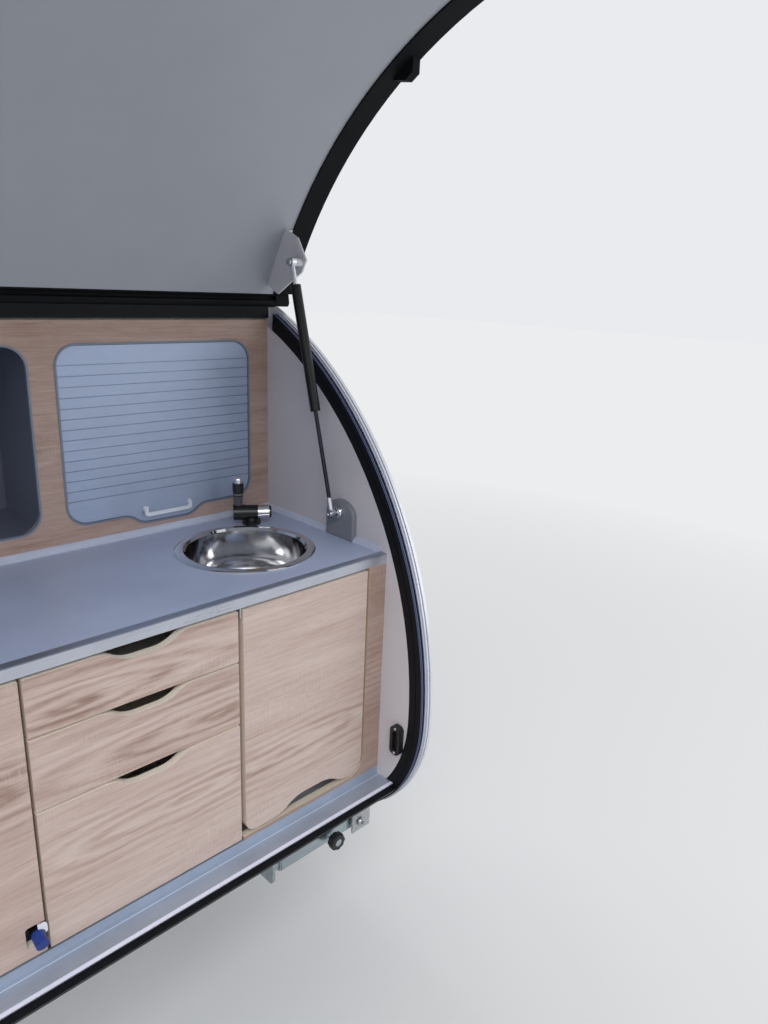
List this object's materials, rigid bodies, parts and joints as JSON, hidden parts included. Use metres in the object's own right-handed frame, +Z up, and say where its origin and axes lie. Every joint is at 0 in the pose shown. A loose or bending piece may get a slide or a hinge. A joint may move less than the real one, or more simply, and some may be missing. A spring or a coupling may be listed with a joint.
{
  "type": "teardrop trailer rear galley section",
  "caption": "Rear kitchen section of a teardrop trailer with lift-up hatch on gas struts, lockers, worktop with sink, drawers, doors and flap tables.",
  "frame": {"origin": "centre of the front plane, where the section joins the cabin, at floor height", "axes": "+Y forward towards the cabin and the drawbar, +X to the right seen from behind, +Z up"},
  "size_m": [1.638, 1.3978, 1.8463],
  "materials": {
    "panel_grey": "satin light grey panel skin",
    "panel_outer": "satin light grey gelcoat",
    "floor": "dark coated plywood",
    "oak": "light streaky oak board",
    "laminate": "blue-grey laminate",
    "alloy": "brushed anodised",
    "seal": "matte black",
    "anthracite": "dark anthracite",
    "frame_grey": "light grey",
    "shutter": "blue-grey metallic",
    "steel": "polished",
    "black_plastic": "black",
    "strut_black": "gloss black",
    "rod": "dark polished rod",
    "galvanised": "galvanised",
    "stay": "grey-brown plastic",
    "canister": "translucent white",
    "cap": "yellow"
  },
  "bodies": {
    "shell": {"canister_caps": "cap", "carcass": "oak", "chassis_rails": "galvanised", "corner_fitting": "black_plastic", "cross_member": "galvanised", "drawer_runners": "galvanised", "edge_trims": "alloy", "facade": "oak", "floor_panel": "floor", "front_partition": "panel_grey", "hinge_rail": "seal", "latch_keepers": "black_plastic", "locker_boxes": "anthracite", "opening_frames": "frame_grey", "pivot_brackets": "galvanised", "roof_strip": "panel_grey", "shutter_handles": "frame_grey", "shutters": "shutter", "side_walls": "panel_grey", "sill": "alloy", "sink": "steel", "skirting": "frame_grey", "stay_guides": "stay", "steady_brackets": "galvanised", "strut_housings": "black_plastic", "strut_studs": "rod", "tail_apron": "alloy", "tail_seals": "seal", "tap": "black_plastic", "water_canisters": "canister", "worktop": "laminate", "worktop_edge": "alloy"},
    "hatch": {"hatch_shell": "panel_outer", "hatch_liner": "panel_grey", "hatch_rim": "seal", "hatch_hinge_bead": "seal", "hatch_strut_plates": "galvanised", "hatch_locks": "black_plastic"},
    "strut_cylinder_right": {"strut_cylinder_right": "strut_black"},
    "strut_cylinder_left": {"strut_cylinder_left": "strut_black"},
    "strut_rod_right": {"strut_rod_right": "rod"},
    "strut_rod_left": {"strut_rod_left": "rod"},
    "drawer_bottom": {"drawer_bottom": "oak", "drawer_bottom_tray": "oak"},
    "drawer_middle": {"drawer_middle": "oak", "drawer_middle_tray": "oak"},
    "drawer_top": {"drawer_top": "oak", "drawer_top_tray": "oak"},
    "middle_door": {"middle_door": "oak"},
    "flap_right": {"flap_right": "oak"},
    "flap_left": {"flap_left": "oak"},
    "stay_right": {"stay_right": "stay"},
    "stay_left": {"stay_left": "stay"},
    "steady_right": {"steady_right": "galvanised"},
    "steady_left": {"steady_left": "galvanised"}
  },
  "joints": [
    {"name": "hatch_hinge", "type": "hinge", "parent": "shell", "child": "hatch", "pos_m": [0, -0.29, 1.07104], "axis": [-1, 0, 0], "range_deg": [-91, 0]},
    {"name": "strut_cylinder_right_pivot", "type": "hinge", "parent": "hatch", "child": "strut_cylinder_right", "pos_m": [0.722, -0.43, 1.16004], "axis": [-1, 0, 0], "range_deg": [0, 109.85]},
    {"name": "strut_rod_right_slide", "type": "slide", "parent": "strut_cylinder_right", "child": "strut_rod_right", "axis": [0, -0.2677, -0.9635], "range_m": [-0.19001, 0]},
    {"name": "strut_cylinder_left_pivot", "type": "hinge", "parent": "hatch", "child": "strut_cylinder_left", "pos_m": [-0.722, -0.43, 1.16004], "axis": [-1, 0, 0], "range_deg": [0, 109.85]},
    {"name": "strut_rod_left_slide", "type": "slide", "parent": "strut_cylinder_left", "child": "strut_rod_left", "axis": [0, -0.2677, -0.9635], "range_m": [-0.19001, 0]},
    {"name": "drawer_bottom_slide", "type": "slide", "parent": "shell", "child": "drawer_bottom", "axis": [0, -1, 0], "range_m": [0, 0.4]},
    {"name": "drawer_middle_slide", "type": "slide", "parent": "shell", "child": "drawer_middle", "axis": [0, -1, 0], "range_m": [0, 0.4]},
    {"name": "drawer_top_slide", "type": "slide", "parent": "shell", "child": "drawer_top", "axis": [0, -1, 0], "range_m": [0, 0.4]},
    {"name": "middle_door_hinge", "type": "hinge", "parent": "shell", "child": "middle_door", "pos_m": [-0.371, -0.712, 0.294], "axis": [0, 0, -1], "range_deg": [0, 90]},
    {"name": "flap_right_hinge", "type": "hinge", "parent": "shell", "child": "flap_right", "pos_m": [0.546, -0.712, 0.536], "axis": [-1, 0, 0], "range_deg": [0, 90]},
    {"name": "stay_right_pivot", "type": "hinge", "parent": "flap_right", "child": "stay_right", "pos_m": [0.4, -0.668, 0.314], "axis": [-1, 0, 0], "range_deg": [-28.2, 0]},
    {"name": "flap_left_hinge", "type": "hinge", "parent": "shell", "child": "flap_left", "pos_m": [-0.546, -0.712, 0.536], "axis": [-1, 0, 0], "range_deg": [0, 90]},
    {"name": "stay_left_pivot", "type": "hinge", "parent": "flap_left", "child": "stay_left", "pos_m": [-0.4, -0.668, 0.314], "axis": [-1, 0, 0], "range_deg": [-28.2, 0]},
    {"name": "steady_right_hinge", "type": "hinge", "parent": "shell", "child": "steady_right", "pos_m": [0.724, -0.672, -0.111], "axis": [0, -1, 0], "range_deg": [0, 90]},
    {"name": "steady_left_hinge", "type": "hinge", "parent": "shell", "child": "steady_left", "pos_m": [-0.724, -0.672, -0.111], "axis": [0, 1, 0], "range_deg": [0, 90]}
  ],
  "couplings": [
    {"joint": "strut_cylinder_right_pivot", "follows": "hatch_hinge", "ratio": -1.2017},
    {"joint": "strut_rod_right_slide", "follows": "hatch_hinge", "m_per_rad": 0.11932},
    {"joint": "strut_cylinder_left_pivot", "follows": "hatch_hinge", "ratio": -1.2017},
    {"joint": "strut_rod_left_slide", "follows": "hatch_hinge", "m_per_rad": 0.11932},
    {"joint": "stay_right_pivot", "follows": "flap_right_hinge", "ratio": -0.31222},
    {"joint": "stay_left_pivot", "follows": "flap_left_hinge", "ratio": -0.31222}
  ]
}
